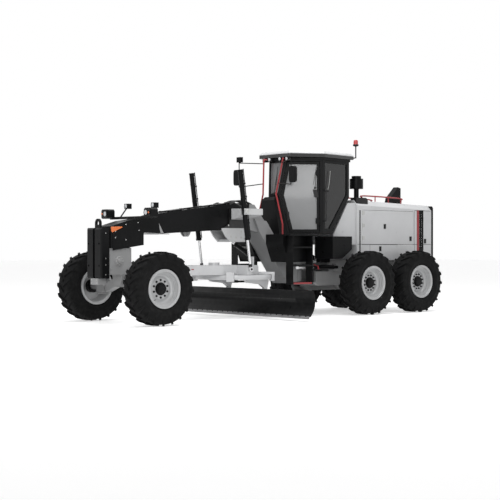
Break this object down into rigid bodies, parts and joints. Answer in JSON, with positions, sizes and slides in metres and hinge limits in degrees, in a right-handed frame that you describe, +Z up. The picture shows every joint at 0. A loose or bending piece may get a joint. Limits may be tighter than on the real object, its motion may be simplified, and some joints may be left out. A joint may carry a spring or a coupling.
{
  "type": "motor grader",
  "caption": "Articulated motor grader: long front frame with cab, drawbar, turning circle and curved blade, leaning front wheels, engine hood over tandem drive wheels.",
  "frame": {"origin": "on the ground, midway between the foremost and rearmost faces, on the machine's centre plane", "axes": "+X forward, +Y to the machine's left, +Z up"},
  "size_m": [8.93, 4.27, 3.73],
  "materials": {
    "black_paint": "satin black paint",
    "white_paint": "gloss pale grey paint",
    "grey_paint": "satin grey paint",
    "red_paint": "gloss red paint",
    "rim_paint": "silver grey paint",
    "tyre": "matte",
    "glass": "tinted",
    "chrome": "polished",
    "cutting_steel": "worn steel",
    "beacon_lens": "clear red",
    "seat_fabric": "woven",
    "cast_engine": "painted casting"
  },
  "bodies": {
    "rear_frame": {"rear_frame": "grey_paint", "tandem_axle": "grey_paint", "engine": "cast_engine", "hood": "white_paint", "grilles": "black_paint", "stacks": "black_paint", "platforms": "black_paint"},
    "front_frame": {"main_frame": "black_paint", "bolster": "grey_paint", "push_block": "black_paint", "front_axle": "grey_paint", "headlamps": "black_paint", "lift_saddle": "white_paint", "cab_frame": "black_paint", "cab_roof": "white_paint", "cab_glass": "glass", "cab_base": "black_paint", "handrails": "red_paint", "mirrors": "black_paint", "beacon": "beacon_lens", "seat": "seat_fabric", "controls": "black_paint"},
    "drawbar": {"drawbar": "white_paint"},
    "circle": {"circle": "white_paint"},
    "blade_carriage": {"blade_carriage": "black_paint"},
    "blade": {"blade": "black_paint", "cutting_edge": "cutting_steel"},
    "tie_rod": {"tie_rod": "grey_paint"},
    "side_shift_barrel": {"side_shift_barrel": "black_paint"},
    "side_shift_rod": {"side_shift_rod": "chrome"},
    "wheel_mid_left": {"tyre_mid_left": "tyre", "rim_mid_left": "rim_paint"},
    "wheel_rear_left": {"tyre_rear_left": "tyre", "rim_rear_left": "rim_paint"},
    "lean_left": {"lean_fork_left": "grey_paint"},
    "knuckle_left": {"knuckle_left": "grey_paint"},
    "wheel_front_left": {"tyre_front_left": "tyre", "rim_front_left": "rim_paint"},
    "door_left": {"door_left": "black_paint", "door_glass_left": "glass"},
    "hood_door_left": {"hood_door_left": "white_paint"},
    "wheel_mid_right": {"tyre_mid_right": "tyre", "rim_mid_right": "rim_paint"},
    "wheel_rear_right": {"tyre_rear_right": "tyre", "rim_rear_right": "rim_paint"},
    "lean_right": {"lean_fork_right": "grey_paint"},
    "knuckle_right": {"knuckle_right": "grey_paint"},
    "wheel_front_right": {"tyre_front_right": "tyre", "rim_front_right": "rim_paint"},
    "door_right": {"door_right": "black_paint", "door_glass_right": "glass"},
    "hood_door_right": {"hood_door_right": "white_paint"},
    "lift_left_barrel": {"lift_left_barrel": "black_paint"},
    "lift_left_rod": {"lift_left_rod": "chrome"},
    "lift_right_barrel": {"lift_right_barrel": "black_paint"},
    "lift_right_rod": {"lift_right_rod": "chrome"},
    "steer_left_barrel": {"steer_left_barrel": "black_paint"},
    "steer_left_rod": {"steer_left_rod": "chrome"},
    "steer_right_barrel": {"steer_right_barrel": "black_paint"},
    "steer_right_rod": {"steer_right_rod": "chrome"}
  },
  "joints": [
    {"name": "articulation", "type": "hinge", "parent": "rear_frame", "child": "front_frame", "pos_m": [-0.659, 0, 0.9], "axis": [0, 0, 1], "range_deg": [-20, 20]},
    {"name": "wheel_mid_left_spin", "type": "hinge", "parent": "rear_frame", "child": "wheel_mid_left", "pos_m": [-1.7175, 1.078, 0.674], "axis": [0, 1, 0], "continuous": true},
    {"name": "wheel_rear_left_spin", "type": "hinge", "parent": "rear_frame", "child": "wheel_rear_left", "pos_m": [-3.2605, 1.078, 0.674], "axis": [0, 1, 0], "continuous": true},
    {"name": "lean_left", "type": "hinge", "parent": "front_frame", "child": "lean_left", "pos_m": [3.791, 0.6, 0.64], "axis": [1, 0, 0], "range_deg": [-18, 18]},
    {"name": "steer_left", "type": "hinge", "parent": "lean_left", "child": "knuckle_left", "pos_m": [3.791, 0.8, 0.674], "axis": [0, 0, 1], "range_deg": [-45, 45]},
    {"name": "wheel_front_left_spin", "type": "hinge", "parent": "knuckle_left", "child": "wheel_front_left", "pos_m": [3.791, 1.078, 0.674], "axis": [0, 1, 0], "continuous": true},
    {"name": "door_left_hinge", "type": "hinge", "parent": "front_frame", "child": "door_left", "pos_m": [-0.65122, 0.72293, 2.4], "axis": [0, 0, 1], "range_deg": [0, 95]},
    {"name": "hood_door_left_hinge", "type": "hinge", "parent": "rear_frame", "child": "hood_door_left", "pos_m": [-2.012, 0.662, 1.85], "axis": [0, 0, 1], "range_deg": [-90, 0]},
    {"name": "wheel_mid_right_spin", "type": "hinge", "parent": "rear_frame", "child": "wheel_mid_right", "pos_m": [-1.7175, -1.078, 0.674], "axis": [0, 1, 0], "continuous": true},
    {"name": "wheel_rear_right_spin", "type": "hinge", "parent": "rear_frame", "child": "wheel_rear_right", "pos_m": [-3.2605, -1.078, 0.674], "axis": [0, 1, 0], "continuous": true},
    {"name": "lean_right", "type": "hinge", "parent": "front_frame", "child": "lean_right", "pos_m": [3.791, -0.6, 0.64], "axis": [1, 0, 0], "range_deg": [-18, 18]},
    {"name": "steer_right", "type": "hinge", "parent": "lean_right", "child": "knuckle_right", "pos_m": [3.791, -0.8, 0.674], "axis": [0, 0, 1], "range_deg": [-45, 45]},
    {"name": "wheel_front_right_spin", "type": "hinge", "parent": "knuckle_right", "child": "wheel_front_right", "pos_m": [3.791, -1.078, 0.674], "axis": [0, 1, 0], "continuous": true},
    {"name": "door_right_hinge", "type": "hinge", "parent": "front_frame", "child": "door_right", "pos_m": [-0.65122, -0.72293, 2.4], "axis": [0, 0, 1], "range_deg": [-95, 0]},
    {"name": "hood_door_right_hinge", "type": "hinge", "parent": "rear_frame", "child": "hood_door_right", "pos_m": [-2.012, -0.662, 1.85], "axis": [0, 0, 1], "range_deg": [0, 90]},
    {"name": "tie_rod_slide", "type": "slide", "parent": "front_frame", "child": "tie_rod", "axis": [0, 1, 0], "range_m": [-0.1983, 0.1983]},
    {"name": "drawbar_lift", "type": "hinge", "parent": "front_frame", "child": "drawbar", "pos_m": [3.511, 0, 1], "axis": [0, 1, 0], "range_deg": [-8, 9]},
    {"name": "circle_turn", "type": "hinge", "parent": "drawbar", "child": "circle", "pos_m": [1.091, 0, 0.78], "axis": [0, 0, 1], "continuous": true},
    {"name": "blade_tip", "type": "hinge", "parent": "circle", "child": "blade_carriage", "pos_m": [0.761, 0, 0.33], "axis": [0, 1, 0], "range_deg": [-5, 35]},
    {"name": "blade_shift", "type": "slide", "parent": "blade_carriage", "child": "blade", "axis": [0, 1, 0], "range_m": [-0.5, 0.5]},
    {"name": "lift_left_swing", "type": "hinge", "parent": "front_frame", "child": "lift_left_barrel", "pos_m": [1.451, 0.76, 2.12], "axis": [0, -1, 0], "range_deg": [-2.42, 2.42]},
    {"name": "lift_left_stroke", "type": "slide", "parent": "lift_left_barrel", "child": "lift_left_rod", "axis": [-0.1402, 0, -0.9901], "range_m": [-0.3521, 0.3521]},
    {"name": "lift_right_swing", "type": "hinge", "parent": "front_frame", "child": "lift_right_barrel", "pos_m": [1.451, -0.76, 2.12], "axis": [0, -1, 0], "range_deg": [-2.42, 2.42]},
    {"name": "lift_right_stroke", "type": "slide", "parent": "lift_right_barrel", "child": "lift_right_rod", "axis": [-0.1402, 0, -0.9901], "range_m": [-0.3521, 0.3521]},
    {"name": "side_shift_swing", "type": "hinge", "parent": "front_frame", "child": "side_shift_rod", "pos_m": [0.861, -0.52, 1.64], "axis": [1, 0, 0], "range_deg": [-22.16, 22.16]},
    {"name": "side_shift_stroke", "type": "slide", "parent": "side_shift_rod", "child": "side_shift_barrel", "axis": [0, 0.8944, -0.4472], "range_m": [-0.1725, 0.1725]},
    {"name": "articulation_cylinder_left_swing", "type": "hinge", "parent": "rear_frame", "child": "steer_left_barrel", "pos_m": [-1.389, 0.48, 1], "axis": [0, 0, 1], "range_deg": [-7, 7]},
    {"name": "articulation_cylinder_left_stroke", "type": "slide", "parent": "steer_left_barrel", "child": "steer_left_rod", "axis": [0.9996, -0.0265, 0], "range_m": [-0.1648, 0.1648]},
    {"name": "articulation_cylinder_right_swing", "type": "hinge", "parent": "rear_frame", "child": "steer_right_barrel", "pos_m": [-1.389, -0.48, 1], "axis": [0, 0, 1], "range_deg": [-7, 7]},
    {"name": "articulation_cylinder_right_stroke", "type": "slide", "parent": "steer_right_barrel", "child": "steer_right_rod", "axis": [0.9996, 0.0265, 0], "range_m": [-0.1648, 0.1648]}
  ],
  "couplings": [
    {"joint": "lean_right", "follows": "lean_left", "ratio": 1},
    {"joint": "steer_right", "follows": "steer_left", "ratio": 1},
    {"joint": "tie_rod_slide", "follows": "steer_left", "m_per_rad": -0.25},
    {"joint": "lift_left_swing", "follows": "drawbar_lift", "ratio": -0.2562},
    {"joint": "lift_left_stroke", "follows": "drawbar_lift", "m_per_rad": -2.1974},
    {"joint": "lift_right_swing", "follows": "drawbar_lift", "ratio": -0.2562},
    {"joint": "lift_right_stroke", "follows": "drawbar_lift", "m_per_rad": -2.1974},
    {"joint": "side_shift_swing", "follows": "drawbar_lift", "ratio": 2.39},
    {"joint": "side_shift_stroke", "follows": "drawbar_lift", "m_per_rad": -1.0665},
    {"joint": "articulation_cylinder_left_swing", "follows": "articulation", "ratio": 0.3401},
    {"joint": "articulation_cylinder_left_stroke", "follows": "articulation", "m_per_rad": -0.4585},
    {"joint": "articulation_cylinder_right_swing", "follows": "articulation", "ratio": 0.3401},
    {"joint": "articulation_cylinder_right_stroke", "follows": "articulation", "m_per_rad": 0.4585}
  ]
}
